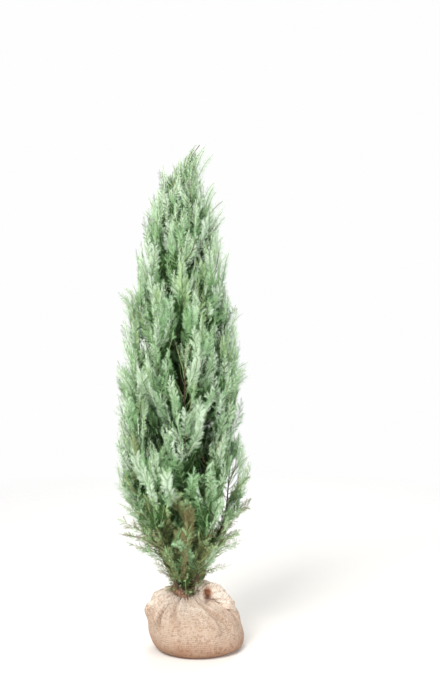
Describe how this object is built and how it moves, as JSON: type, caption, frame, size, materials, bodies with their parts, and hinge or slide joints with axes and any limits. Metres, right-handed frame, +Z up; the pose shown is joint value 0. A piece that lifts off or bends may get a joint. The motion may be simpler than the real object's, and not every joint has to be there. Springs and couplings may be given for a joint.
{
  "type": "lawson cypress",
  "caption": "Columnar evergreen conifer with upright plumes of flat grey-green sprays on ascending boughs round one trunk, standing on a round root ball tied up in hessian.",
  "frame": {"origin": "centre of the root ball's flat underside, on the ground that the plant stands on", "axes": "+Z up along the trunk, -Y towards the viewer of the picture, +X to the right in it"},
  "size_m": [0.4538, 0.4505, 1.6509],
  "materials": {
    "wrapped_earth": "matte",
    "hessian": "matte",
    "bark": "matte",
    "foliage": "matte"
  },
  "bodies": {
    "root": {"root_ball": "wrapped_earth", "hessian_ear": "hessian", "trunk": "bark", "skirt_bough_1": "bark", "skirt_bough_2": "bark", "skirt_bough_3": "bark", "skirt_bough_4": "bark", "skirt_bough_5": "bark", "skirt_bough_6": "bark", "lower_bough_1": "bark", "lower_bough_2": "bark", "lower_bough_3": "bark", "lower_bough_4": "bark", "lower_bough_5": "bark", "lower_bough_6": "bark", "middle_bough_1": "bark", "middle_bough_2": "bark", "middle_bough_3": "bark", "middle_bough_4": "bark", "middle_bough_5": "bark", "middle_bough_6": "bark", "upper_bough_1": "bark", "upper_bough_2": "bark", "upper_bough_3": "bark", "upper_bough_4": "bark", "upper_bough_5": "bark", "crown_bough_1": "bark", "crown_bough_2": "bark", "crown_bough_3": "bark", "crown_bough_4": "bark", "crown_bough_5": "bark", "skirt_plume_1": "foliage", "skirt_plume_2": "foliage", "skirt_plume_3": "foliage", "skirt_plume_4": "foliage", "skirt_plume_5": "foliage", "skirt_plume_6": "foliage", "lower_plume_1": "foliage", "lower_plume_2": "foliage", "lower_plume_3": "foliage", "lower_plume_4": "foliage", "lower_plume_5": "foliage", "lower_plume_6": "foliage", "middle_plume_1": "foliage", "middle_plume_2": "foliage", "middle_plume_3": "foliage", "middle_plume_4": "foliage", "middle_plume_5": "foliage", "middle_plume_6": "foliage", "upper_plume_1": "foliage", "upper_plume_2": "foliage", "upper_plume_3": "foliage", "upper_plume_4": "foliage", "upper_plume_5": "foliage", "crown_plume_1": "foliage", "crown_plume_2": "foliage", "crown_plume_3": "foliage", "crown_plume_4": "foliage", "crown_plume_5": "foliage", "leader_plume": "foliage"}
  },
  "joints": []
}
